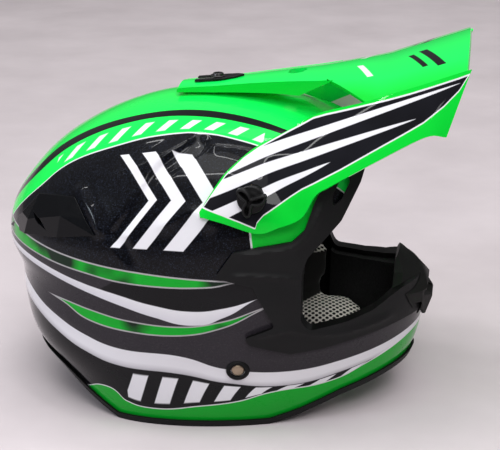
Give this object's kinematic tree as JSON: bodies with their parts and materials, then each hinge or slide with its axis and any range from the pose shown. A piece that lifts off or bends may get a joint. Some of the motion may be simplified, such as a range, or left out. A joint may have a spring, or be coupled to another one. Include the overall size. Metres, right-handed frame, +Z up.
{
  "type": "motocross helmet",
  "caption": "Full-face motocross helmet with an open eye port, tilting sun peak on side knobs, padded liner and a chin strap with D-rings.",
  "frame": {"origin": "middle of the helmet's box, on the plane that its rim stands on", "axes": "+X to the front, where the face looks out; +Y to the wearer's left; +Z up"},
  "size_m": [0.3774, 0.2592, 0.304],
  "materials": {
    "shell_paint": "painted, clear coated",
    "edging": "matt",
    "surround_plastic": "fine moulded grain",
    "guard_plastic": "fine moulded grain",
    "grille_plastic": "matt",
    "foam": "expanded foam",
    "liner_cloth": "brushed knit",
    "pad_cloth": "open mesh over knit",
    "neck_cloth": "brushed knit",
    "snap_plastic": "matt",
    "vent_plastic": "fine moulded grain",
    "insert_brass": "turned",
    "peak_paint": "painted, clear coated",
    "bushing_plastic": "matt",
    "knob_plastic": "satin",
    "washer_rubber": "matt",
    "screw_steel": "satin",
    "rivet_steel": "satin",
    "plate_steel": "zinc plated",
    "webbing": "woven webbing",
    "ring_steel": "polished"
  },
  "bodies": {
    "helmet": {"outer_shell": "shell_paint", "rim_trim": "edging", "eye_port_surround": "surround_plastic", "nose_guard": "guard_plastic", "mouth_vent_grille": "grille_plastic", "crown_foam": "foam", "chin_foam_block": "foam", "comfort_liner": "liner_cloth", "cheek_pad_right": "pad_cloth", "cheek_pad_left": "pad_cloth", "neck_roll": "neck_cloth", "cheek_pad_snaps": "snap_plastic", "rear_vent_right": "vent_plastic", "rear_vent_left": "vent_plastic", "side_inserts": "insert_brass", "crown_insert": "insert_brass", "knob_washers": "washer_rubber", "strap_rivets": "rivet_steel", "rivet_washers": "washer_rubber"},
    "peak": {"peak": "peak_paint", "peak_bushings": "bushing_plastic", "peak_slot_plate": "bushing_plastic"},
    "knob_right": {"peak_knob_right": "knob_plastic"},
    "knob_left": {"peak_knob_left": "knob_plastic"},
    "crown_screw": {"crown_screw": "screw_steel"},
    "strap_right": {"strap_anchor_right": "plate_steel", "chin_strap_right": "webbing", "strap_snap": "plate_steel"},
    "strap_left": {"strap_anchor_left": "plate_steel", "chin_strap_left": "webbing"},
    "ring_upper": {"d_ring_upper": "ring_steel"},
    "ring_lower": {"d_ring_lower": "ring_steel"}
  },
  "joints": [
    {"name": "peak_tilt", "type": "hinge", "parent": "helmet", "child": "peak", "pos_m": [0.035, 0, 0.1975], "axis": [0, 1, 0], "range_deg": [0, 6]},
    {"name": "crown_screw_lift", "type": "slide", "parent": "helmet", "child": "crown_screw", "axis": [0, 0, 1], "range_m": [0, 0.006]},
    {"name": "knob_right_turn", "type": "hinge", "parent": "helmet", "child": "knob_right", "pos_m": [0.035, -0.12, 0.1975], "axis": [0, -1, 0], "continuous": true},
    {"name": "knob_left_turn", "type": "hinge", "parent": "helmet", "child": "knob_left", "pos_m": [0.035, 0.12, 0.1975], "axis": [0, 1, 0], "continuous": true},
    {"name": "strap_right_swing", "type": "hinge", "parent": "helmet", "child": "strap_right", "pos_m": [0.023, -0.098, 0.055], "axis": [0, 1, 0], "range_deg": [-12, 12]},
    {"name": "strap_left_swing", "type": "hinge", "parent": "helmet", "child": "strap_left", "pos_m": [0.023, 0.098, 0.055], "axis": [0, 1, 0], "range_deg": [-12, 12]},
    {"name": "d_ring_upper_flip", "type": "hinge", "parent": "strap_left", "child": "ring_upper", "pos_m": [0.023, 0.06, 0.0095], "axis": [1, 0, 0], "range_deg": [-80, 0]},
    {"name": "d_ring_lower_flip", "type": "hinge", "parent": "strap_left", "child": "ring_lower", "pos_m": [0.023, 0.06, 0.0049], "axis": [1, 0, 0], "range_deg": [-30, 0]}
  ],
  "couplings": [
    {"joint": "crown_screw_lift", "follows": "peak_tilt", "m_per_rad": 0.05},
    {"joint": "d_ring_lower_flip", "follows": "d_ring_upper_flip", "ratio": 0.25}
  ]
}
